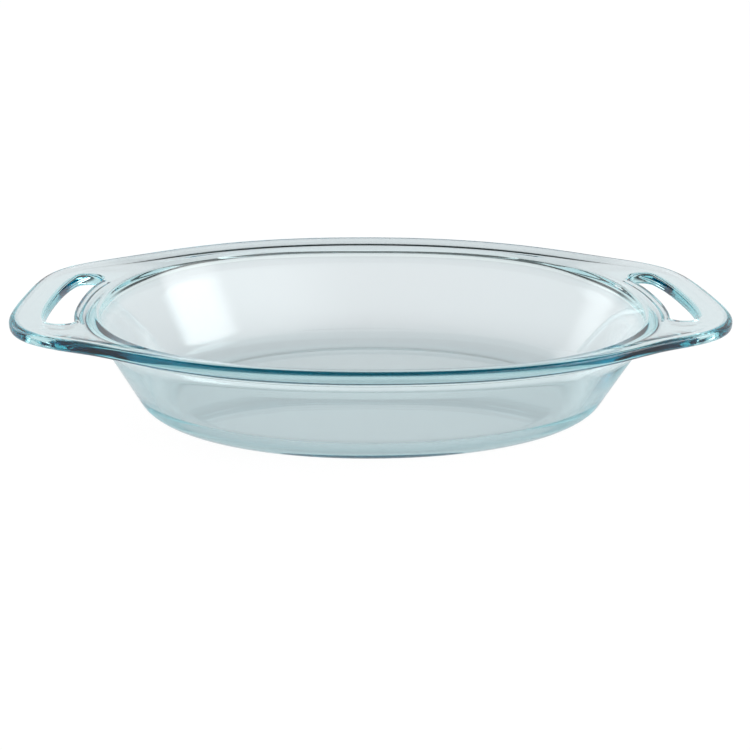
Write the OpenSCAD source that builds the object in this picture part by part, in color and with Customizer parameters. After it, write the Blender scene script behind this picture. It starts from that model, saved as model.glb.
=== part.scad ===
// Oval baking dish: one piece of pressed glass, with a raised flange that widens at both ends
// into loop handles. Millimetres. The origin is the middle of the base's underside, X runs
// from handle to handle, Y across the dish and Z up from the table.

/* [Overall] */
// length over both handles
dish_length = 435.8; // [380:0.2:500]
// width over the flange
dish_width = 273; // [230:1:310]
// height from the table to the top of the rim
dish_height = 74.4; // [60:0.1:95]

/* [Bowl] */
// how full the mouth's oval is: 2 is an ellipse, more is squarer
mouth_fullness = 2.27; // [2:0.01:2.8]
// the same for the base's oval
base_fullness = 1.99; // [1.8:0.01:2.8]
// slope of the wall above the table, in degrees
wall_angle = 67.2; // [60:0.1:80]
// thickness of the wall and the floor
wall_thickness = 5.9; // [4.5:0.1:7]
// outer radius where the wall turns into the base
bottom_radius = 20.3; // [12:0.1:34]

/* [Flange] */
// width of the flange at the middle of a side, from the mouth to the edge
flange_side = 20; // [18:0.5:36]
// thickness of the flange at its outer edge
rim_thickness = 8.2; // [6:0.1:10]
// thickness of the flange where it leaves the wall
root_thickness = 10; // [8:0.1:12]
// how square the edge's section is: 2 is a half circle
rim_fullness = 2.8; // [2:0.1:4]
// how far the flange climbs from the mouth to its outer edge
flange_rise = 5.7; // [3:0.1:10]
// how full the oval is that the flange follows between the handles: 2 is an ellipse
flange_fullness = 2.15; // [2:0.01:2.8]
// size of the rounding between the flange and the wall, inside
crest_radius = 3.5; // [2:0.1:5]
// the same outside, measured down the wall
fillet_radius = 7.5; // [3:0.1:9]

/* [Handles] */
// depth of a handle, from the mouth to its outer edge
handle_depth = 47.9; // [44:0.1:60]
// how far a handle reaches past the flange's oval
handle_reach = 20.5; // [10:0.5:30]
// width of the handle where it would meet the flange's middle
handle_span = 180.5; // [150:0.5:200]
// how square the handle's end is
handle_fullness = 4.2; // [3.5:0.1:6]
// how sharply the handle turns into the flange: less is softer
blend_sharpness = 16; // [12:1:40]
// how far the handles dip below the rest of the rim
handle_drop = 1.6; // [0:0.1:4]
// length of the finger opening
opening_length = 96; // [70:0.5:100]
// glass between the mouth and the opening
web_width = 13.4; // [12:0.1:17]
// width of the bar that the fingers close round
grip_width = 18.6; // [14:0.1:20]
// how round the opening's corners are: 1 makes its ends half circles
opening_roundness = 0.9; // [0.5:0.05:1]

/* [Hidden] */
glass = [0.72, 0.9, 0.92, 0.6];

half_l = dish_length / 2;
half_w = dish_width / 2;
mouth_a = half_l - handle_depth;
mouth_b = half_w - flange_side;
edge_r = rim_thickness / 2;
rim_top = dish_height;
mouth_z = rim_top - flange_rise;

// the bowl's wall in section: offset s from the mouth, measured outward, and height z
wall_cos = cos(wall_angle);
wall_sin = sin(wall_angle);
arc_run = (bottom_radius - mouth_z + (wall_thickness - bottom_radius) * wall_cos) / wall_sin;
arc_s = (wall_thickness - bottom_radius) * wall_sin + arc_run * wall_cos;
arc_z = bottom_radius;

// the finger openings, measured across the handle from the mouth to the outer edge
opening_width = handle_depth - web_width - grip_width;
opening_corner = opening_roundness * opening_width / 2;
opening_mid = web_width + opening_width / 2;
opening_radius = mouth_a + opening_mid;

// the mesh: columns round the dish, rows across the flange, steps round each rounded edge
cols_handle = 10;
cols_side = 17;
cols_quarter = cols_handle + cols_side;
cols = 4 * cols_quarter;
rows = 4;
edge_steps = 10;
arc_steps = 7;
crest_steps = 5;
corner_cols = 4;
corner_split = 22.5;
handle_angle = (opening_length / 2 + 2.5 * edge_r) / opening_radius * 180 / PI;

// column angles, closer together round the handle's corners
function quarter_angle(i) = i <= cols_handle
    ? handle_angle * pow(i / cols_handle, 0.85)
    : handle_angle + (90 - handle_angle) * pow((i - cols_handle) / cols_side, 1.55);
function wrap(i) = (i % cols + cols) % cols;
function column_angle(i) =
    let (q = floor(wrap(i) / cols_quarter), k = wrap(i) % cols_quarter)
    q % 2 == 0 ? 90 * q + quarter_angle(k) : 90 * (q + 1) - quarter_angle(cols_quarter - k);

// polar radius of an oval with half-lengths a and b and fullness n
function oval(a, b, n, t) = pow(pow(abs(cos(t)) / a, n) + pow(abs(sin(t)) / b, n), -1 / n);
function fullness(s) = mouth_fullness
    + (base_fullness - mouth_fullness) * min(1, max(0, s / arc_s));
function bowl_radius(s, t) = oval(mouth_a + s, mouth_b + s, fullness(s), t);

// the outline: the flange's oval and the handles' squarer one, blended smoothly
flange_a = half_l - handle_reach;
handle_b = handle_span / 2;
handle_a = pow(pow(half_l, blend_sharpness) - pow(flange_a, blend_sharpness), 1 / blend_sharpness);
flange_b = pow(pow(half_w, blend_sharpness) - pow(handle_b, blend_sharpness), 1 / blend_sharpness);
function flange_oval(t) = oval(flange_a, flange_b, flange_fullness, t);
function handle_oval(t) = oval(handle_a, handle_b, handle_fullness, t);
function outline_radius(t) = pow(
    pow(flange_oval(t), blend_sharpness) + pow(handle_oval(t), blend_sharpness), 1 / blend_sharpness);
function polar(r, t) = [r * cos(t), r * sin(t)];
function outline_normal(t) =
    let (d = polar(outline_radius(t + 0.1), t + 0.1) - polar(outline_radius(t - 0.1), t - 0.1))
    [d[1], -d[0]] / norm(d);
function edge_line(t) = polar(outline_radius(t), t) - edge_r * outline_normal(t);

// the rim's level: it dips a little along the handles
drop_sharpness = 24;
function rim_level(t) =
    let (f = pow(flange_oval(t), drop_sharpness), h = pow(handle_oval(t), drop_sharpness))
    rim_top - edge_r - handle_drop * h / (f + h);

// how far across the flange polar radius r is: 0 at the mouth, 1 at the rim's centre line
function flange_share(r, t) =
    let (r0 = bowl_radius(0, t), r1 = norm(edge_line(t)))
    min(1, max(0, (r - r0) / (r1 - r0)));
function flange_top(r, t) = mouth_z + (rim_level(t) + edge_r - mouth_z) * flange_share(r, t);
function flange_depth(r, t) = root_thickness + (rim_thickness - root_thickness) * flange_share(r, t);

function lift(p, z) = [p[0], p[1], z];
function curve(a, b, c, u) = (1 - u) * (1 - u) * a + 2 * u * (1 - u) * b + u * u * c;
function bowl_point(s, z, t) = lift(polar(bowl_radius(s, t), t), z);
function top_point(s, t) =
    let (r = bowl_radius(s, t)) lift(polar(r, t), flange_top(r, t));
function under_point(s, t) = top_point(s, t) - [0, 0, flange_depth(bowl_radius(s, t), t)];

// a point of the wall's outer face at height z, and of its inner face
function outer_s(z) = wall_thickness * wall_sin + (z - mouth_z + wall_thickness * wall_cos)
    * wall_cos / wall_sin;
function inner_s(z) = (z - mouth_z) * wall_cos / wall_sin;

// the offset at which the wall's outer face meets the flange's underside, found in two steps
function meeting(s, t) = outer_s(under_point(s, t)[2]);
function fillet_s(t) = meeting(meeting(outer_s(mouth_z - root_thickness), t), t);

// the sections, from the edge of the base up the outside, round the rim and down the inside
function base_arc(r, k, t) =
    let (a = -90 + wall_angle * k / arc_steps) bowl_point(arc_s + r * cos(a), arc_z + r * sin(a), t);
fillet_run = 0.6 * fillet_radius;
function under_fillet(k, t) =
    let (s = fillet_s(t), p = under_point(s, t), low = p[2] - fillet_radius)
    curve(bowl_point(outer_s(low), low, t), p, under_point(s + fillet_run, t), k / crest_steps);
function crest(k, t) = curve(
    top_point(crest_radius, t), bowl_point(0, mouth_z, t),
    bowl_point(inner_s(mouth_z - crest_radius), mouth_z - crest_radius, t), k / crest_steps);

// the rounded edge's section at angle a, as shares of its half-thickness: out and up
function edge_out(a) = pow(max(0, cos(a)), 2 / rim_fullness);
function edge_up(a) = sign(a) * pow(abs(sin(a)), 2 / rim_fullness);
function rim_point(k, t) =
    let (a = -90 + 180 * k / edge_steps)
    lift(edge_line(t) + edge_r * edge_out(a) * outline_normal(t), rim_level(t) + edge_r * edge_up(a));
function across(a, b, j) = a + (b - a) * j / rows;

function section(t) = concat(
    [for (k = [0 : arc_steps]) base_arc(bottom_radius, k, t)],
    [for (k = [0 : crest_steps]) under_fillet(k, t)],
    [for (j = [1 : rows - 1]) across(under_fillet(crest_steps, t), rim_point(0, t), j)],
    [for (k = [0 : edge_steps]) rim_point(k, t)],
    [for (j = [1 : rows - 1]) across(rim_point(edge_steps, t), crest(0, t), j)],
    [for (k = [0 : crest_steps]) crest(k, t)],
    [for (k = [arc_steps : -1 : 0]) base_arc(bottom_radius - wall_thickness, k, t)]);

under_row = arc_steps + 1 + crest_steps;
top_row = under_row + rows + edge_steps;
rings = top_row + rows + crest_steps + arc_steps + 2;
function ring_index(j, i) = wrap(i) * rings + j;

// the edge of a handle's patch, counted round from the bowl's side: column, row
patch = 4 * cols_handle + 2 * rows;
function patch_spot(p) =
    p < 2 * cols_handle ? [p - cols_handle, 0]
    : p < 2 * cols_handle + rows ? [cols_handle, p - 2 * cols_handle]
    : p < 4 * cols_handle + rows ? [3 * cols_handle + rows - p, rows]
    : [-cols_handle, patch - p];

// the point of the opening's rounded edge that faces a spot, grown outward by d
function corner(d, a) = [
    opening_length / 2 - opening_corner + (opening_corner + d) * cos(a),
    opening_width / 2 - opening_corner + (opening_corner + d) * sin(a)];
function long_side(d, u) =
    let (flat = 1 - corner_cols / cols_handle)
    u <= flat
        ? [(opening_length / 2 - opening_corner) * u / flat, opening_width / 2 + d]
        : corner(d, 90 - (90 - corner_split) * (u - flat) / (1 - flat));
function short_side(d, v) = v >= 0.5
    ? corner(d, corner_split * (2 * v - 1))
    : [opening_length / 2 + d, (opening_width / 2 - opening_corner) * 2 * v];
function edge_spot(d, c) =
    let (u = c[0] / cols_handle, v = 2 * c[1] / rows - 1,
        q = abs(v) == 1 ? long_side(d, abs(u)) : short_side(d, abs(v)))
    [u < 0 ? -q[0] : q[0], v < 0 ? -q[1] : q[1]];

// that point on the flange, at angle a round the opening's rounded edge
function opening_point(c, a, side) =
    let (q = edge_spot(edge_r * (1 - edge_out(a)), c),
        t = q[0] / opening_radius * 180 / PI,
        r0 = bowl_radius(0, t),
        r = r0 + (outline_radius(t) - r0) * (opening_mid + q[1]) / handle_depth)
    lift(polar(r, t + side), flange_top(r, t) + flange_depth(r, t) * (edge_up(a) - 1) / 2);

opening_steps = 8;
openings = [for (side = [0, 180]) [for (k = [0 : opening_steps]) [for (p = [0 : patch - 1])
    opening_point(patch_spot(p), -90 + 180 * k / opening_steps, side)]]];

// where a patch vertex sits in the list of points: level 0 is the flange's underside,
// the last level its upper face, and those between run round the opening's edge
function patch_index(h, level, p) =
    let (c = patch_spot(p % patch), i = c[0] + h * cols / 2)
    level == 0 ? ring_index(under_row + c[1], i)
    : level == opening_steps + 2 ? ring_index(top_row + rows - c[1], i)
    : cols * rings + (h * (opening_steps + 1) + level - 1) * patch + p % patch;

function in_patch(j, i) =
    let (k = wrap(i + cols_handle) % (cols / 2))
    k < 2 * cols_handle
        && ((j >= under_row && j < under_row + rows) || (j >= top_row && j < top_row + rows));

// two triangles for each cell between the corners a b and c d
function cell(a, b, c, d) = [[a, c, b], [b, c, d]];

dish_points = concat(
    [for (i = [0 : cols - 1]) each section(column_angle(i))],
    [for (h = openings) for (level = h) each level]);
dish_faces = concat(
    [[for (i = [0 : cols - 1]) ring_index(0, i)]],
    [[for (i = [cols - 1 : -1 : 0]) ring_index(rings - 1, i)]],
    [for (i = [0 : cols - 1]) for (j = [0 : rings - 2]) if (!in_patch(j, i))
        each cell(ring_index(j, i), ring_index(j, i + 1),
            ring_index(j + 1, i), ring_index(j + 1, i + 1))],
    [for (h = [0, 1]) for (level = [0 : opening_steps + 1]) for (p = [0 : patch - 1])
        each cell(patch_index(h, level, p), patch_index(h, level, p + 1),
            patch_index(h, level + 1, p), patch_index(h, level + 1, p + 1))]);

module baking_dish()
    color(glass) polyhedron(dish_points, dish_faces, convexity = 8);

baking_dish();
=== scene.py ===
"""Oval baking dish of clear pressed glass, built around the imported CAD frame.

The dish is one skin. Rings of points run from the base up the outside, round the rim and
down inside, and a band of faces joins the flange's two sides round each finger opening.
The dish is worked out in millimetres, and the studio in metres.
"""

import logging
import math
from collections.abc import Sequence
from dataclasses import dataclass, field
from enum import Enum

import bpy
import numpy as np
from mathutils import Matrix, Vector

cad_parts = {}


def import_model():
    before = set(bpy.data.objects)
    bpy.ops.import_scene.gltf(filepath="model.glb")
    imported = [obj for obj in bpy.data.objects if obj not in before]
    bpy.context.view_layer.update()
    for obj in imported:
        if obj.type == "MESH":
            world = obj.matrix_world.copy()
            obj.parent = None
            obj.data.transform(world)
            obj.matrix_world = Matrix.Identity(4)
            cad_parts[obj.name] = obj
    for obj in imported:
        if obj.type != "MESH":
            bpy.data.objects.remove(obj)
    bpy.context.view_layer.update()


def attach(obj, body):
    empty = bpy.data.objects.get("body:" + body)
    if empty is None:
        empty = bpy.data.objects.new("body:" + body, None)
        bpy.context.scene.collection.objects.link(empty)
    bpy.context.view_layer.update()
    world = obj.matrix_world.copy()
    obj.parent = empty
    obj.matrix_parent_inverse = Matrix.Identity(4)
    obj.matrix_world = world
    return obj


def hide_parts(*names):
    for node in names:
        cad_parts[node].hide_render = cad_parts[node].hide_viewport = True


LOG = logging.getLogger("baking_dish")
MM = 0.001

# One number, or an array of them
Values = float | np.ndarray
Colour = tuple[float, float, float]

WHITE: Colour = (1.0, 1.0, 1.0)


class HandleEnd(Enum):
    """The two ends of the dish, by the angle at which each handle points."""

    RIGHT = 0.0
    LEFT = 180.0


class BowlFace(Enum):
    """The two faces of the bowl's glass."""

    OUTER = "outer"
    INNER = "inner"


@dataclass(frozen=True)
class DishSizes:
    """The driving sizes of the dish, in millimetres and degrees.

    A fullness is 2 for an ellipse or a half-round edge, and more for a squarer one.

    Attributes:
        dish_length: Length over both handles.
        dish_width: Width over the flange.
        dish_height: Height from the underside of the base to the top of the rim.
        mouth_fullness: Fullness of the bowl's oval at the mouth.
        base_fullness: Fullness of the bowl's oval at the base.
        wall_angle: Slope of the wall against the base.
        wall_thickness: Thickness of the wall and the floor.
        bottom_radius: Rounding between the wall and the base, outside.
        floor_radius: Rounding between the wall and the floor, inside.
        flange_side: Width of the flange at the sides, from the mouth to the outline.
        rim_thickness: Thickness of the flange at the rim.
        root_thickness: Thickness of the flange at the mouth.
        rim_fullness: Fullness of the rim's rounding on its upper side.
        lip_inset: How much further in the rim's rounding starts on its underside.
        lip_fullness: Fullness of the rim's rounding on its underside.
        flange_rise: Height of the rim's top above the mouth.
        flange_fullness: Fullness of the flange's oval.
        crest_radius: Rounding where the flange turns down into the bowl.
        fillet_radius: Hollow rounding under the flange, as far as it runs down the wall.
        fillet_share: How far it runs out under the flange, as a share of that.
        handle_depth: Width of the flange at the handles, from the mouth to the outline.
        handle_reach: How far a handle stands out beyond the flange's oval.
        handle_span: Width of the oval that the handles' ends follow.
        handle_fullness: Fullness of that oval.
        blend_sharpness: How sharply the handles' outline turns into the flange's.
        handle_drop: How far the rim dips along a handle.
        drop_sharpness: How sharply that dip sets in.
        opening_length: Length of a finger opening.
        web_width: Width of the glass between the mouth and a finger opening.
        grip_width: Width of the glass between a finger opening and the outline.
        opening_roundness: Corner radius of a finger opening, as a share of half its width.
    """

    dish_length: float = 435.8
    dish_width: float = 273.0
    dish_height: float = 74.4
    mouth_fullness: float = 2.27
    base_fullness: float = 1.99
    wall_angle: float = 66.4
    wall_thickness: float = 5.9
    bottom_radius: float = 20.3
    floor_radius: float = 25.2
    flange_side: float = 18.7
    rim_thickness: float = 8.2
    root_thickness: float = 8.1
    rim_fullness: float = 3.6
    lip_inset: float = 5.2
    lip_fullness: float = 2.15
    flange_rise: float = 4.9
    flange_fullness: float = 2.15
    crest_radius: float = 2.0
    fillet_radius: float = 12.3
    fillet_share: float = 0.6
    handle_depth: float = 47.9
    handle_reach: float = 20.5
    handle_span: float = 180.5
    handle_fullness: float = 4.2
    blend_sharpness: float = 16.0
    handle_drop: float = 1.6
    drop_sharpness: float = 24.0
    opening_length: float = 96.0
    web_width: float = 13.4
    grip_width: float = 18.6
    opening_roundness: float = 0.9


@dataclass(frozen=True)
class MeshFineness:
    """How finely the skin is divided.

    Attributes:
        cols_handle: Columns from the middle of a handle to the end of its patch.
        cols_side: Columns from there to the middle of a side.
        rows: Rows across the flange.
        edge_steps: Steps round the rim.
        arc_steps: Steps up the rounding at the base, and down the one at the floor.
        crest_steps: Steps over the crest, and up the hollow under the flange.
        opening_steps: Steps round the edge of a finger opening.
        corner_cols: Columns of a patch's half that face a corner of the opening.
        corner_split: Degrees of a corner that face the end of the patch.
        patch_margin: Glass between an opening and the patch's end, in half-thicknesses.
        handle_grading: Power that spreads a patch's columns; below 1 it crowds the end.
        side_grading: Power that spreads a side's columns; above 1 it crowds the handle.
        pad_insets: Rings on the flat of the base and the floor, as shares of their edge.
    """

    cols_handle: int = 30
    cols_side: int = 48
    rows: int = 10
    edge_steps: int = 20
    arc_steps: int = 22
    crest_steps: int = 10
    opening_steps: int = 16
    corner_cols: int = 12
    corner_split: float = 22.5
    patch_margin: float = 2.5
    handle_grading: float = 0.85
    side_grading: float = 1.55
    pad_insets: tuple[float, ...] = (0.985, 0.9, 0.7, 0.45, 0.2)

    @property
    def cols(self) -> int:
        """Columns all round the dish."""
        return 4 * (self.cols_handle + self.cols_side)


class DishForm:
    """The dish's surfaces, worked out from its sizes.

    A point is placed by its angle round the dish, in radians, and by how far it lies
    outside the mouth's oval, in plan. In the names of half-axes, a is along X and b along Y.

    Attributes:
        NORMAL_STEP: Angle over which the outline's direction is taken.
        MEETING_PASSES: Passes that find where the wall meets the flange's underside.
        sizes: The driving sizes.
        half_length: Half the dish's length.
        half_width: Half its width.
        mouth_a: Half the length of the mouth's oval.
        mouth_b: Half its width.
        mouth_z: Its height.
        edge_radius: Half the rim's thickness.
        wall_cos: Cosine of the wall's slope.
        wall_sin: Sine of the wall's slope.
        base_offset: How far outside the mouth's oval the flat of the base ends.
        opening_width: Width of a finger opening.
        opening_corner: Radius of its corners.
        opening_mid: How far its middle lies from the mouth.
        opening_radius: How far its middle lies from the middle of the dish.
        flange_a: Half the length of the flange's oval.
        flange_b: Half its width.
        handle_a: Half the length of the oval that the handles' ends follow.
        handle_b: Half its width.
    """

    NORMAL_STEP = math.radians(0.1)
    MEETING_PASSES = 2

    def __init__(self, sizes: DishSizes) -> None:
        """Work out the lengths that follow from the driving sizes.

        Args:
            sizes: The driving sizes.
        """
        self.sizes = sizes
        self.half_length = sizes.dish_length / 2
        self.half_width = sizes.dish_width / 2
        self.mouth_a = self.half_length - sizes.handle_depth
        self.mouth_b = self.half_width - sizes.flange_side
        self.edge_radius = sizes.rim_thickness / 2
        self.mouth_z = sizes.dish_height - sizes.flange_rise
        self.wall_cos = math.cos(math.radians(sizes.wall_angle))
        self.wall_sin = math.sin(math.radians(sizes.wall_angle))
        self.base_offset, _ = self.arc_centre(sizes.bottom_radius, 0.0, sizes.wall_thickness)
        self.opening_width = sizes.handle_depth - sizes.web_width - sizes.grip_width
        self.opening_corner = sizes.opening_roundness * self.opening_width / 2
        self.opening_mid = sizes.web_width + self.opening_width / 2
        self.opening_radius = self.mouth_a + self.opening_mid
        self.flange_a = self.half_length - sizes.handle_reach
        self.handle_b = sizes.handle_span / 2
        power = sizes.blend_sharpness
        self.handle_a = (self.half_length**power - self.flange_a**power) ** (1 / power)
        self.flange_b = (self.half_width**power - self.handle_b**power) ** (1 / power)

    @staticmethod
    def oval(a: Values, b: Values, fullness: Values, turn: np.ndarray) -> np.ndarray:
        """Give an oval's polar radius.

        Args:
            a: Half-length along X.
            b: Half-length along Y.
            fullness: 2 for an ellipse, more for a squarer oval.
            turn: Angles round the dish.

        Returns:
            The radius at each angle.
        """
        along = (np.abs(np.cos(turn)) / a) ** fullness
        across = (np.abs(np.sin(turn)) / b) ** fullness
        return (along + across) ** (-1 / fullness)

    def arc_centre(self, radius: float, level: float, depth: float) -> tuple[float, float]:
        """Find the centre of the arc between a wall face and the flat that it runs into.

        Args:
            radius: The arc's radius.
            level: Height of the flat: the base's underside or the floor.
            depth: How far the wall's face lies outside its inner one.

        Returns:
            The centre's offset from the mouth, and its height.
        """
        z = level + radius
        rise = (z - self.mouth_z) * self.wall_cos
        return (rise + depth - radius) / self.wall_sin, z

    def bowl_radius(self, offset: Values, turn: np.ndarray) -> np.ndarray:
        """Give the polar radius of the bowl's oval, which changes from mouth to base.

        Args:
            offset: How far outside the mouth's oval, below zero inside it.
            turn: Angles round the dish.

        Returns:
            The radius at each angle.
        """
        share = np.clip(offset / self.base_offset, 0.0, 1.0)
        sizes = self.sizes
        fullness = sizes.mouth_fullness + (sizes.base_fullness - sizes.mouth_fullness) * share
        return self.oval(self.mouth_a + offset, self.mouth_b + offset, fullness, turn)

    def flange_oval(self, turn: np.ndarray) -> np.ndarray:
        """Give the oval that the flange follows between the handles."""
        return self.oval(self.flange_a, self.flange_b, self.sizes.flange_fullness, turn)

    def handle_oval(self, turn: np.ndarray) -> np.ndarray:
        """Give the squarer oval that both handles' ends follow."""
        return self.oval(self.handle_a, self.handle_b, self.sizes.handle_fullness, turn)

    def outline_radius(self, turn: np.ndarray) -> np.ndarray:
        """Give the polar radius of the outline, flange and handles blended."""
        power = self.sizes.blend_sharpness
        return (self.flange_oval(turn) ** power + self.handle_oval(turn) ** power) ** (1 / power)

    @staticmethod
    def polar(radius: np.ndarray, turn: np.ndarray) -> np.ndarray:
        """Turn polar radii and angles into plan points."""
        return np.stack([radius * np.cos(turn), radius * np.sin(turn)], axis=-1)

    def outline_normal(self, turn: np.ndarray) -> np.ndarray:
        """Give the outline's outward normals in plan.

        Args:
            turn: Angles round the dish.

        Returns:
            A unit vector at each angle.
        """
        step = self.NORMAL_STEP
        ahead = self.polar(self.outline_radius(turn + step), turn + step)
        behind = self.polar(self.outline_radius(turn - step), turn - step)
        along = ahead - behind
        normal = np.stack([along[..., 1], -along[..., 0]], axis=-1)
        return normal / np.linalg.norm(along, axis=-1, keepdims=True)

    def edge_line(self, turn: np.ndarray) -> np.ndarray:
        """Give the centre line of the rounded rim, in plan."""
        outline = self.polar(self.outline_radius(turn), turn)
        return outline - self.edge_radius * self.outline_normal(turn)

    def rim_level(self, turn: np.ndarray) -> np.ndarray:
        """Give the height of the rim's centre line, which dips along the handles.

        Args:
            turn: Angles round the dish.

        Returns:
            The height at each angle.
        """
        flange = self.flange_oval(turn) ** self.sizes.drop_sharpness
        handle = self.handle_oval(turn) ** self.sizes.drop_sharpness
        dip = self.sizes.handle_drop * handle / (flange + handle)
        return self.sizes.dish_height - self.edge_radius - dip

    def flange_share(self, radius: np.ndarray, turn: np.ndarray) -> np.ndarray:
        """Tell how far across the flange points lie.

        Args:
            radius: Their polar radii.
            turn: Their angles round the dish.

        Returns:
            0 at the mouth, 1 at the rim's centre line.
        """
        inner = self.bowl_radius(0.0, turn)
        outer = np.linalg.norm(self.edge_line(turn), axis=-1)
        return np.clip((radius - inner) / (outer - inner), 0.0, 1.0)

    def flange_top(self, radius: np.ndarray, turn: np.ndarray) -> np.ndarray:
        """Give the height of the flange's upper face at a polar radius."""
        climb = self.rim_level(turn) + self.edge_radius - self.mouth_z
        return self.mouth_z + climb * self.flange_share(radius, turn)

    def flange_depth(self, radius: np.ndarray, turn: np.ndarray) -> np.ndarray:
        """Give the flange's thickness at a polar radius."""
        taper = self.sizes.rim_thickness - self.sizes.root_thickness
        return self.sizes.root_thickness + taper * self.flange_share(radius, turn)

    @staticmethod
    def lift(plan: np.ndarray, z: Values) -> np.ndarray:
        """Add heights to plan points."""
        height = np.broadcast_to(np.asarray(z, dtype=float), plan.shape[:-1])
        return np.concatenate([plan, height[..., None]], axis=-1)

    def bowl_point(self, offset: Values, z: Values, turn: np.ndarray) -> np.ndarray:
        """Give the points of the bowl at an offset and a height."""
        return self.lift(self.polar(self.bowl_radius(offset, turn), turn), z)

    def top_point(self, offset: Values, turn: np.ndarray) -> np.ndarray:
        """Give the points of the flange's upper face at an offset."""
        radius = self.bowl_radius(offset, turn)
        return self.lift(self.polar(radius, turn), self.flange_top(radius, turn))

    def under_point(self, offset: Values, turn: np.ndarray) -> np.ndarray:
        """Give the points of the flange's underside.

        Args:
            offset: How far outside the mouth's oval.
            turn: Angles round the dish.

        Returns:
            The points.
        """
        point = self.top_point(offset, turn)
        point[..., 2] -= self.flange_depth(self.bowl_radius(offset, turn), turn)
        return point

    def outer_offset(self, z: Values) -> Values:
        """Give the offset of the wall's outer face.

        Args:
            z: Height above the base's underside.

        Returns:
            How far outside the mouth's oval the face lies there.
        """
        sizes = self.sizes
        rise = z - self.mouth_z + sizes.wall_thickness * self.wall_cos
        return sizes.wall_thickness * self.wall_sin + rise * self.wall_cos / self.wall_sin

    def inner_offset(self, z: float) -> float:
        """Give the offset of the wall's inner face at height z."""
        return (z - self.mouth_z) * self.wall_cos / self.wall_sin

    def corner_arc(self, face: BowlFace, share: float, turn: np.ndarray) -> np.ndarray:
        """Give a ring of the arc between the wall and the base, or between it and the floor.

        Args:
            face: The outer or the inner face of the bowl.
            share: 0 at the flat, 1 where the wall starts.
            turn: Angles round the dish.

        Returns:
            The ring's points.
        """
        sizes = self.sizes
        if face is BowlFace.OUTER:
            radius, level, depth = sizes.bottom_radius, 0.0, sizes.wall_thickness
        else:
            radius, level, depth = sizes.floor_radius, sizes.wall_thickness, 0.0
        offset, z = self.arc_centre(radius, level, depth)
        angle = math.radians(-90 + sizes.wall_angle * share)
        out, up = radius * math.cos(angle), radius * math.sin(angle)
        return self.bowl_point(offset + out, z + up, turn)

    @staticmethod
    def curve(start: np.ndarray, corner: np.ndarray, end: np.ndarray, share: float) -> np.ndarray:
        """Round a corner: give the point at a share of the way from start to end."""
        left = 1 - share
        return left**2 * start + 2 * share * left * corner + share**2 * end

    def under_fillet(self, share: float, turn: np.ndarray) -> np.ndarray:
        """Give a ring of the hollow rounding under the flange.

        Args:
            share: 0 on the wall, 1 under the flange.
            turn: Angles round the dish.

        Returns:
            The ring's points.
        """
        offset = self.outer_offset(self.mouth_z - self.sizes.root_thickness)
        for _ in range(self.MEETING_PASSES):
            offset = self.outer_offset(self.under_point(offset, turn)[..., 2])
        meeting = self.under_point(offset, turn)
        low = meeting[..., 2] - self.sizes.fillet_radius
        end = offset + self.sizes.fillet_share * self.sizes.fillet_radius
        start = self.bowl_point(self.outer_offset(low), low, turn)
        return self.curve(start, meeting, self.under_point(end, turn), share)

    def crest(self, share: float, turn: np.ndarray) -> np.ndarray:
        """Give a ring of the rounding where the flange turns down into the bowl.

        Args:
            share: 0 on the flange, 1 on the wall.
            turn: Angles round the dish.

        Returns:
            The ring's points.
        """
        reach = self.sizes.crest_radius
        low = self.mouth_z - reach
        return self.curve(
            self.top_point(reach, turn),
            self.bowl_point(0.0, self.mouth_z, turn),
            self.bowl_point(self.inner_offset(low), low, turn),
            share,
        )

    @staticmethod
    def edge_section(share: float, fullness: float) -> tuple[float, float]:
        """Give a rounded edge's section: how far out and up, in half-thicknesses.

        Args:
            share: 0 at the edge's underside, 1 at its top.
            fullness: 2 for a half-round edge, more for a squarer one.

        Returns:
            The distance outward and the height.
        """
        angle = math.radians(-90 + 180 * share)
        power = 2 / fullness
        out, up = max(0.0, math.cos(angle)) ** power, abs(math.sin(angle)) ** power
        return out, math.copysign(up, angle)

    def rim_point(self, share: float, turn: np.ndarray) -> np.ndarray:
        """Give a ring of the rounded rim, which is softer on its underside.

        Args:
            share: 0 at the rim's underside, 1 at its top.
            turn: Angles round the dish.

        Returns:
            The ring's points.
        """
        if share < 0.5:
            out, up = self.edge_section(share, self.sizes.lip_fullness)
            out -= (1 - out) * self.sizes.lip_inset / self.edge_radius
        else:
            out, up = self.edge_section(share, self.sizes.rim_fullness)
        plan = self.edge_line(turn) + self.edge_radius * out * self.outline_normal(turn)
        return self.lift(plan, self.rim_level(turn) + self.edge_radius * up)


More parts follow.
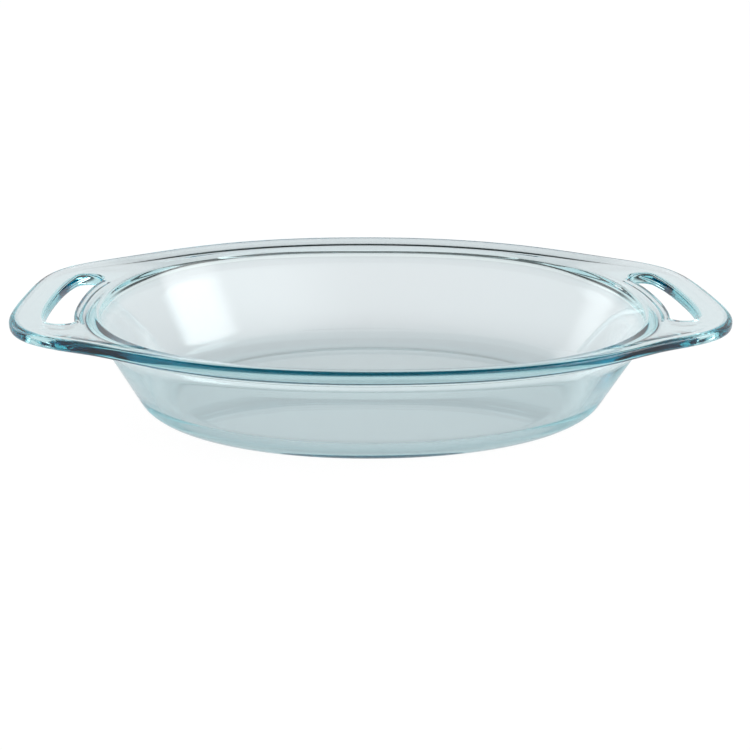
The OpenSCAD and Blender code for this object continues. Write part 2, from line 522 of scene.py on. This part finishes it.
@dataclass
class DishSkin:
    """The mesh of the whole dish: its rings, and the bands round the finger openings.

    Attributes:
        form: The dish's surfaces.
        fineness: How finely they are divided.
        points: The vertices so far, in millimetres.
        faces: The faces so far.
        under_row: The ring where the flange's underside starts.
        top_row: The ring where its upper face starts.
        ring_count: The number of rings.
    """

    form: DishForm
    fineness: MeshFineness = field(default_factory=MeshFineness)
    points: list[np.ndarray] = field(init=False, default_factory=list)
    faces: list[tuple[int, ...]] = field(init=False, default_factory=list)
    under_row: int = field(init=False, default=0)
    top_row: int = field(init=False, default=0)
    ring_count: int = field(init=False, default=0)

    def column_angles(self) -> np.ndarray:
        """Place the columns, closest round the handles' corners.

        Returns:
            Their angles round the dish, in radians.
        """
        fine, form = self.fineness, self.form
        reach = form.sizes.opening_length / 2 + fine.patch_margin * form.edge_radius
        patch = math.degrees(reach / form.opening_radius)
        handle_share = np.arange(fine.cols_handle) / fine.cols_handle
        side_share = np.arange(fine.cols_side) / fine.cols_side
        handle = patch * handle_share**fine.handle_grading
        side = patch + (90 - patch) * side_share**fine.side_grading
        quarter = np.concatenate([handle, side, [90.0]])
        up, down = quarter[:-1], 180 - quarter[:0:-1]
        return np.radians(np.concatenate([up, down, 180 + up, 180 + down]))

    def build_rings(self, turn: np.ndarray) -> None:
        """Stack the rings, from the base up the outside, round the rim and down inside.

        Args:
            turn: The columns' angles round the dish.
        """
        form, fine = self.form, self.fineness
        arc = [k / fine.arc_steps for k in range(fine.arc_steps + 1)]
        corner = [k / fine.crest_steps for k in range(fine.crest_steps + 1)]
        rim = [k / fine.edge_steps for k in range(fine.edge_steps + 1)]
        span = [row / fine.rows for row in range(1, fine.rows)]
        base = form.corner_arc(BowlFace.OUTER, 0.0, turn)
        floor = form.corner_arc(BowlFace.INNER, 0.0, turn)
        in_plan = np.array([1.0, 1.0, 0.0])
        in_height = np.array([0.0, 0.0, 1.0])
        rings = [base * (in_plan * inset + in_height) for inset in reversed(fine.pad_insets)]
        rings += [form.corner_arc(BowlFace.OUTER, share, turn) for share in arc]
        rings += [form.under_fillet(share, turn) for share in corner]
        self.under_row = len(rings) - 1
        start, end = rings[-1], form.rim_point(0.0, turn)
        rings += [start + (end - start) * share for share in span]
        rings += [form.rim_point(share, turn) for share in rim]
        self.top_row = len(rings) - 1
        start, end = rings[-1], form.crest(0.0, turn)
        rings += [start + (end - start) * share for share in span]
        rings += [form.crest(share, turn) for share in corner]
        rings += [form.corner_arc(BowlFace.INNER, share, turn) for share in reversed(arc)]
        rings += [floor * (in_plan * inset + in_height) for inset in fine.pad_insets]
        self.ring_count = len(rings)
        self.points = list(np.concatenate(rings))

    def ring_index(self, ring: int, col: int) -> int:
        """Give the index of a ring's vertex."""
        return ring * self.fineness.cols + col % self.fineness.cols

    def patch_spot(self, place: int) -> tuple[int, int]:
        """Walk round a handle's patch, the part of the flange that its opening interrupts.

        Args:
            place: The vertex's place in the walk, which starts at the bowl.

        Returns:
            Its column from the middle of the handle, and its row from the bowl outward.
        """
        wide, rows = self.fineness.cols_handle, self.fineness.rows
        if place < 2 * wide:
            return place - wide, 0
        if place < 2 * wide + rows:
            return wide, place - 2 * wide
        if place < 4 * wide + rows:
            return 3 * wide + rows - place, rows
        return -wide, 4 * wide + 2 * rows - place

    def edge_spot(self, grown: float, col: int, row: int) -> tuple[float, float]:
        """Give the point of the opening's rounded edge that faces a patch vertex.

        Args:
            grown: How far outward from the opening's narrowest line.
            col: The vertex's column, from the middle of the handle.
            row: The vertex's row, from the bowl outward.

        Returns:
            The distance along the opening and across it, from its middle.
        """
        fine, form = self.fineness, self.form
        corner = form.opening_corner
        half_x, half_y = form.sizes.opening_length / 2, form.opening_width / 2
        along, across = abs(col) / fine.cols_handle, abs(2 * row / fine.rows - 1)
        straight = 1 - fine.corner_cols / fine.cols_handle
        on_long_side = row in (0, fine.rows)
        if on_long_side and along <= straight:
            x, y = (half_x - corner) * along / straight, half_y + grown
        elif not on_long_side and across < 0.5:
            x, y = half_x + grown, (half_y - corner) * 2 * across
        else:
            if on_long_side:
                angle = 90 - (90 - fine.corner_split) * (along - straight) / (1 - straight)
            else:
                angle = fine.corner_split * (2 * across - 1)
            x = half_x - corner + (corner + grown) * math.cos(math.radians(angle))
            y = half_y - corner + (corner + grown) * math.sin(math.radians(angle))
        return math.copysign(x, col), math.copysign(y, 2 * row - fine.rows)

    def add_opening(self, end: HandleEnd) -> None:
        """Join the flange's two faces round the edge of one finger opening.

        Args:
            end: The handle that the opening is in.
        """
        form, fine = self.form, self.fineness
        count = 4 * fine.cols_handle + 2 * fine.rows
        spots = [self.patch_spot(place) for place in range(count)]
        shift = 0 if end is HandleEnd.RIGHT else fine.cols // 2
        side = math.radians(end.value)
        last_row = self.top_row + fine.rows
        levels = [[self.ring_index(self.under_row + row, col + shift) for col, row in spots]]
        for step in range(fine.opening_steps + 1):
            out, up = form.edge_section(step / fine.opening_steps, form.sizes.rim_fullness)
            grown = form.edge_radius * (1 - out)
            spot = np.array([self.edge_spot(grown, col, row) for col, row in spots])
            turn = spot[:, 0] / form.opening_radius
            inner = form.bowl_radius(0.0, turn)
            depth = (form.outline_radius(turn) - inner) / form.sizes.handle_depth
            radius = inner + depth * (form.opening_mid + spot[:, 1])
            z = form.flange_top(radius, turn) + form.flange_depth(radius, turn) * (up - 1) / 2
            first = len(self.points)
            self.points += list(form.lift(form.polar(radius, turn + side), z))
            levels.append(list(range(first, first + count)))
        levels.append([self.ring_index(last_row - row, col + shift) for col, row in spots])
        for low, high in zip(levels, levels[1:]):
            for here in range(count):
                there = (here + 1) % count
                self.faces.append((low[here], low[there], high[there], high[here]))

    def in_patch(self, ring: int, col: int) -> bool:
        """Tell whether a cell of the rings is left out for a finger opening.

        Args:
            ring: The cell's first ring.
            col: The cell's first column.

        Returns:
            Whether it lies in a handle's patch, above or below the flange.
        """
        fine = self.fineness
        from_start = (col + fine.cols_handle) % fine.cols % (fine.cols // 2)
        on_flange = any(row <= ring < row + fine.rows for row in (self.under_row, self.top_row))
        return from_start < 2 * fine.cols_handle and on_flange

    def build(self) -> tuple[np.ndarray, list[tuple[int, ...]]]:
        """Build the skin.

        Returns:
            The vertices in metres, and the faces.
        """
        self.build_rings(self.column_angles())
        cols = self.fineness.cols
        self.faces.append(tuple(self.ring_index(0, col) for col in reversed(range(cols))))
        self.faces.append(tuple(self.ring_index(self.ring_count - 1, col) for col in range(cols)))
        for ring in range(self.ring_count - 1):
            for col in range(cols):
                if not self.in_patch(ring, col):
                    here = self.ring_index(ring, col), self.ring_index(ring, col + 1)
                    beyond = self.ring_index(ring + 1, col + 1), self.ring_index(ring + 1, col)
                    self.faces.append(here + beyond)
        for end in HandleEnd:
            self.add_opening(end)
        return np.array(self.points) * MM, self.faces


def bare_material(name: str) -> tuple[bpy.types.NodeTree, bpy.types.Node, bpy.types.Material]:
    """Make a material that holds nothing but its output.

    Args:
        name: The material's name.

    Returns:
        The material's nodes, its output node and the material.
    """
    mat = bpy.data.materials.new(name)
    mat.use_nodes = True
    mat.node_tree.nodes.clear()
    return mat.node_tree, mat.node_tree.nodes.new("ShaderNodeOutputMaterial"), mat


def put_in_scene(name: str, data: bpy.types.ID) -> bpy.types.Object:
    """Make an object and put it in the scene.

    Args:
        name: The object's name.
        data: Its mesh, lamp or camera.

    Returns:
        The object.
    """
    item = bpy.data.objects.new(name, data)
    bpy.context.scene.collection.objects.link(item)
    return item


@dataclass(frozen=True)
class PressedGlass:
    """Clear soda-lime glass: colourless at the surface, blue-green along a long path.

    Attributes:
        surface: Colour of the surface.
        ior: Index of refraction.
        roughness: Roughness of the surface.
        depth_colour: Colour that a long path through the glass takes on.
        depth_density: How soon it does, per metre.
        ripple_scale: How closely the mould's faint ripples follow each other.
        ripple_detail: How fine their smallest waves are.
        ripple_height: Their height in metres.
    """

    surface: Colour = WHITE
    ior: float = 1.52
    roughness: float = 0.0
    depth_colour: Colour = (0.15, 0.76, 0.82)
    depth_density: float = 20.0
    ripple_scale: float = 22.0
    ripple_detail: float = 2.0
    ripple_height: float = 0.00003

    def material(self) -> bpy.types.Material:
        """Make the glass, with the faint ripples that the mould leaves.

        Returns:
            The material.
        """
        tree, out, mat = bare_material("pressed_glass")
        nodes, links = tree.nodes, tree.links
        shader = nodes.new("ShaderNodeBsdfPrincipled")
        shader.inputs["Base Color"].default_value = (*self.surface, 1.0)
        shader.inputs["Roughness"].default_value = self.roughness
        shader.inputs["IOR"].default_value = self.ior
        shader.inputs["Transmission Weight"].default_value = 1.0
        depth = nodes.new("ShaderNodeVolumeAbsorption")
        depth.inputs["Color"].default_value = (*self.depth_colour, 1.0)
        depth.inputs["Density"].default_value = self.depth_density
        place = nodes.new("ShaderNodeTexCoord")
        ripple = nodes.new("ShaderNodeTexNoise")
        ripple.inputs["Scale"].default_value = self.ripple_scale
        ripple.inputs["Detail"].default_value = self.ripple_detail
        bump = nodes.new("ShaderNodeBump")
        bump.inputs["Strength"].default_value = 1.0
        bump.inputs["Distance"].default_value = self.ripple_height
        links.new(place.outputs["Object"], ripple.inputs["Vector"])
        links.new(ripple.outputs["Fac"], bump.inputs["Height"])
        links.new(bump.outputs["Normal"], shader.inputs["Normal"])
        links.new(shader.outputs["BSDF"], out.inputs["Surface"])
        links.new(depth.outputs["Volume"], out.inputs["Volume"])
        return mat


@dataclass
class BakingDish:
    """The glass dish: bowl, flange and both loop handles in one piece.

    Attributes:
        sizes: The driving sizes.
        glass: The finish.
    """

    sizes: DishSizes = field(default_factory=DishSizes)
    glass: PressedGlass = field(default_factory=PressedGlass)

    def build(self) -> bpy.types.Object:
        """Build the dish, dress it and put it in place of the CAD solid.

        Returns:
            The dish's object.
        """
        points, faces = DishSkin(DishForm(self.sizes)).build()
        mesh = bpy.data.meshes.new("dish_glass")
        mesh.from_pydata(points.tolist(), [], faces)
        mesh.polygons.foreach_set("use_smooth", [True] * len(mesh.polygons))
        mesh.update()
        mesh.materials.append(self.glass.material())
        dish = put_in_scene("dish_glass", mesh)
        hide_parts("baking_dish")
        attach(dish, "root")
        return dish


@dataclass(frozen=True)
class WhiteGround:
    """Pale floor that reads as white behind the dish and keeps the dish's shadow.

    Attributes:
        albedo: Share of the light that the lit floor gives back.
        white: Strength of the glow that the camera sees.
        through_glass: Strength of the glow that is seen by way of the glass.
        cast: Tint of that second glow.
        shadow_share: Share of the lit floor, and so of the shadow, that the camera sees.
        shadow_share_in_glass: The same share, seen by way of the glass.
    """

    albedo: float = 0.8
    white: float = 1.03
    through_glass: float = 0.78
    cast: Colour = (0.975, 0.97, 1.0)
    shadow_share: float = 0.06
    shadow_share_in_glass: float = 0.34

    def material(self) -> bpy.types.Material:
        """Make the floor's finish: lit white, under a glow for the rays that look at it.

        Returns:
            The material.
        """
        tree, out, mat = bare_material("white_ground")
        nodes, links = tree.nodes, tree.links
        lit = nodes.new("ShaderNodeBsdfDiffuse")
        lit.inputs["Color"].default_value = (self.albedo, self.albedo, self.albedo, 1.0)
        seen = nodes.new("ShaderNodeLightPath")
        in_glass = nodes.new("ShaderNodeMath")
        in_glass.operation = "MAXIMUM"
        links.new(seen.outputs["Is Glossy Ray"], in_glass.inputs[0])
        links.new(seen.outputs["Is Transmission Ray"], in_glass.inputs[1])
        surface = lit.outputs["BSDF"]
        for ray, tint, strength, share in (
            (in_glass.outputs[0], self.cast, self.through_glass, self.shadow_share_in_glass),
            (seen.outputs["Is Camera Ray"], WHITE, self.white, self.shadow_share),
        ):
            glow = nodes.new("ShaderNodeEmission")
            glow.inputs["Color"].default_value = (*tint, 1.0)
            glow.inputs["Strength"].default_value = strength
            part = nodes.new("ShaderNodeMath")
            part.operation = "MULTIPLY"
            part.inputs[1].default_value = 1.0 - share
            mix = nodes.new("ShaderNodeMixShader")
            links.new(ray, part.inputs[0])
            links.new(part.outputs[0], mix.inputs["Fac"])
            links.new(surface, mix.inputs[1])
            links.new(glow.outputs["Emission"], mix.inputs[2])
            surface = mix.outputs["Shader"]
        links.new(surface, out.inputs["Surface"])
        return mat


@dataclass(frozen=True)
class SkyPatch:
    """A round patch of the surroundings with a soft edge.

    Attributes:
        azimuth: Degrees from +X towards +Y to its middle.
        elevation: Degrees from the horizon up to its middle.
        core: Degrees from its middle to where it starts to fade.
        edge: Degrees from its middle to where it ends.
        level: How bright it is.
    """

    azimuth: float
    elevation: float
    core: float
    edge: float
    level: float

    def over(
        self,
        tree: bpy.types.NodeTree,
        direction: bpy.types.NodeSocket,
        under: bpy.types.NodeSocket | float,
    ) -> bpy.types.NodeSocket:
        """Lay the patch over the surroundings so far.

        Args:
            tree: The world's nodes.
            direction: The direction looked in.
            under: The level so far, a number or a node's output.

        Returns:
            The level with the patch in it.
        """
        across, up = math.radians(self.azimuth), math.radians(self.elevation)
        flat = math.cos(up)
        dot = tree.nodes.new("ShaderNodeVectorMath")
        dot.operation = "DOT_PRODUCT"
        middle = flat * math.cos(across), flat * math.sin(across), math.sin(up)
        dot.inputs[1].default_value = middle
        share = tree.nodes.new("ShaderNodeMapRange")
        share.interpolation_type = "SMOOTHSTEP"
        share.inputs["From Min"].default_value = math.cos(math.radians(self.edge))
        share.inputs["From Max"].default_value = math.cos(math.radians(self.core))
        mix = tree.nodes.new("ShaderNodeMix")
        tree.links.new(direction, dot.inputs[0])
        tree.links.new(dot.outputs["Value"], share.inputs["Value"])
        tree.links.new(share.outputs["Result"], mix.inputs["Factor"])
        if isinstance(under, bpy.types.NodeSocket):
            tree.links.new(under, mix.inputs["A"])
        else:
            mix.inputs["A"].default_value = under
        mix.inputs["B"].default_value = self.level
        return mix.outputs["Result"]


@dataclass
class Studio:
    """The floor, the soft surroundings and the lamp, in metres and watts.

    Attributes:
        ground: The floor's finish.
        floor_reach: How far the floor runs each way.
        floor_gap: How far it lies below the dish, so that the two don't share a face.
        sky_level: How bright the surroundings are.
        backdrop_level: How bright they look to the camera itself.
        dark_back: The dark part above the back, which the dark lines in the glass reflect.
        right_haze: The pale part on the right.
        right_window: The bright middle of that part.
        left_window: The bright part on the left, behind the dish.
        lamp_height: How high the lamp hangs.
        lamp_width: Its width and depth.
        lamp_power: Its power.
    """

    ground: WhiteGround = field(default_factory=WhiteGround)
    floor_reach: float = 30.0
    floor_gap: float = 0.0002
    sky_level: float = 0.9
    backdrop_level: float = 1.0
    dark_back: SkyPatch = SkyPatch(azimuth=90.0, elevation=72.0, core=34.0, edge=45.0, level=0.03)
    right_haze: SkyPatch = SkyPatch(azimuth=-42.0, elevation=27.0, core=12.0, edge=42.0, level=1.9)
    right_window: SkyPatch = SkyPatch(azimuth=-20.0, elevation=26.0, core=9.0, edge=21.0, level=4.5)
    left_window: SkyPatch = SkyPatch(azimuth=146.0, elevation=29.0, core=7.0, edge=25.0, level=2.7)
    lamp_height: float = 1.6
    lamp_width: float = 1.8
    lamp_power: float = 12.0

    def build(self) -> None:
        """Build the floor, the surroundings and the lamp."""
        self.build_floor()
        self.build_world()
        self.build_lamp()

    def build_floor(self) -> bpy.types.Object:
        """Lay the floor under the dish.

        Returns:
            The floor's object.
        """
        low, high = -self.floor_reach, self.floor_reach
        corners = [(low, low, 0.0), (high, low, 0.0), (high, high, 0.0), (low, high, 0.0)]
        mesh = bpy.data.meshes.new("studio_floor")
        mesh.from_pydata(corners, [], [(0, 1, 2, 3)])
        mesh.materials.append(self.ground.material())
        floor = put_in_scene("studio_floor", mesh)
        floor.location.z = -self.floor_gap
        return floor

    def build_world(self) -> None:
        """Make the soft surroundings: pale, dark above the back, bright at each side."""
        world = bpy.data.worlds.new("soft_surroundings")
        bpy.context.scene.world = world
        world.use_nodes = True
        tree = world.node_tree
        tree.nodes.clear()
        out = tree.nodes.new("ShaderNodeOutputWorld")
        sky = tree.nodes.new("ShaderNodeBackground")
        sky.inputs["Color"].default_value = (*WHITE, 1.0)
        place = tree.nodes.new("ShaderNodeTexCoord")
        level = self.sky_level
        for patch in (self.dark_back, self.right_haze, self.right_window, self.left_window):
            level = patch.over(tree, place.outputs["Generated"], level)
        seen = tree.nodes.new("ShaderNodeLightPath")
        shown = tree.nodes.new("ShaderNodeMix")
        shown.inputs["B"].default_value = self.backdrop_level
        tree.links.new(seen.outputs["Is Camera Ray"], shown.inputs["Factor"])
        tree.links.new(level, shown.inputs["A"])
        tree.links.new(shown.outputs["Result"], sky.inputs["Strength"])
        tree.links.new(sky.outputs["Background"], out.inputs["Surface"])

    def build_lamp(self) -> bpy.types.Object:
        """Hang the lamp overhead that brings the light to a plain level.

        Returns:
            The lamp's object.
        """
        softbox = bpy.data.lights.new("top_softbox", "AREA")
        softbox.shape = "RECTANGLE"
        softbox.size, softbox.size_y = self.lamp_width, self.lamp_width
        softbox.energy = self.lamp_power
        lamp = put_in_scene("top_softbox", softbox)
        lamp.location = (0.0, 0.0, self.lamp_height)
        lamp.visible_glossy = False
        lamp.visible_transmission = False
        return lamp


@dataclass(frozen=True)
class PhotoCamera:
    """The camera at the photograph's viewing angle, in metres and degrees.

    Attributes:
        place: Where it stands.
        pitch: How far it looks down.
        pan: How far it turns from +Y towards +X.
        roll: How far its right side is raised.
        focal_px: Its focal length in the photograph's pixels.
        frame_px: The photograph's width in pixels.
        sensor: Width of its sensor in millimetres.
        far_clip: How far it sees.
    """

    place: tuple[float, float, float] = (-0.03823, -0.57737, 0.25945)
    pitch: float = 22.75
    pan: float = 3.92
    roll: float = 1.02
    focal_px: float = 955.3
    frame_px: float = 750.0
    sensor: float = 36.0
    far_clip: float = 100.0

    def build(self) -> bpy.types.Object:
        """Place the camera and make it the scene's.

        Returns:
            The camera's object.
        """
        pitch, pan, roll = (math.radians(angle) for angle in (self.pitch, self.pan, self.roll))
        flat = math.cos(pitch)
        ahead = Vector((math.sin(pan) * flat, math.cos(pan) * flat, -math.sin(pitch)))
        right = Vector((math.cos(pan), -math.sin(pan), 0.0))
        up = right.cross(ahead)
        tilted_right = math.cos(roll) * right + math.sin(roll) * up
        tilted_up = math.cos(roll) * up - math.sin(roll) * right
        lens = bpy.data.cameras.new("photo_camera")
        lens.sensor_width = self.sensor
        lens.lens = self.focal_px * self.sensor / self.frame_px
        lens.clip_end = self.far_clip
        camera = put_in_scene("photo_camera", lens)
        turn = Matrix((tilted_right, tilted_up, -ahead)).transposed()
        camera.matrix_world = Matrix.Translation(self.place) @ turn.to_4x4()
        bpy.context.scene.camera = camera
        return camera


def let_light_run_on(bounces: int = 48) -> None:
    """Let light cross the glass often enough that thick edges glow instead of going black.

    Args:
        bounces: How often a ray may be bent or thrown back.
    """
    cycles = bpy.context.scene.cycles
    cycles.max_bounces = bounces
    cycles.transmission_bounces = bounces
    cycles.glossy_bounces = bounces


def main() -> None:
    """Build the camera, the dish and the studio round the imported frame."""
    logging.basicConfig(level=logging.INFO, format="%(name)s: %(message)s")
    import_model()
    bpy.context.scene.view_settings.view_transform = "Standard"
    let_light_run_on()
    PhotoCamera().build()
    dish = BakingDish().build()
    LOG.info("%s: %d faces", dish.name, len(dish.data.polygons))
    Studio().build()
    LOG.info("studio: floor, surroundings and lamp")


if __name__ == "__main__":
    main()
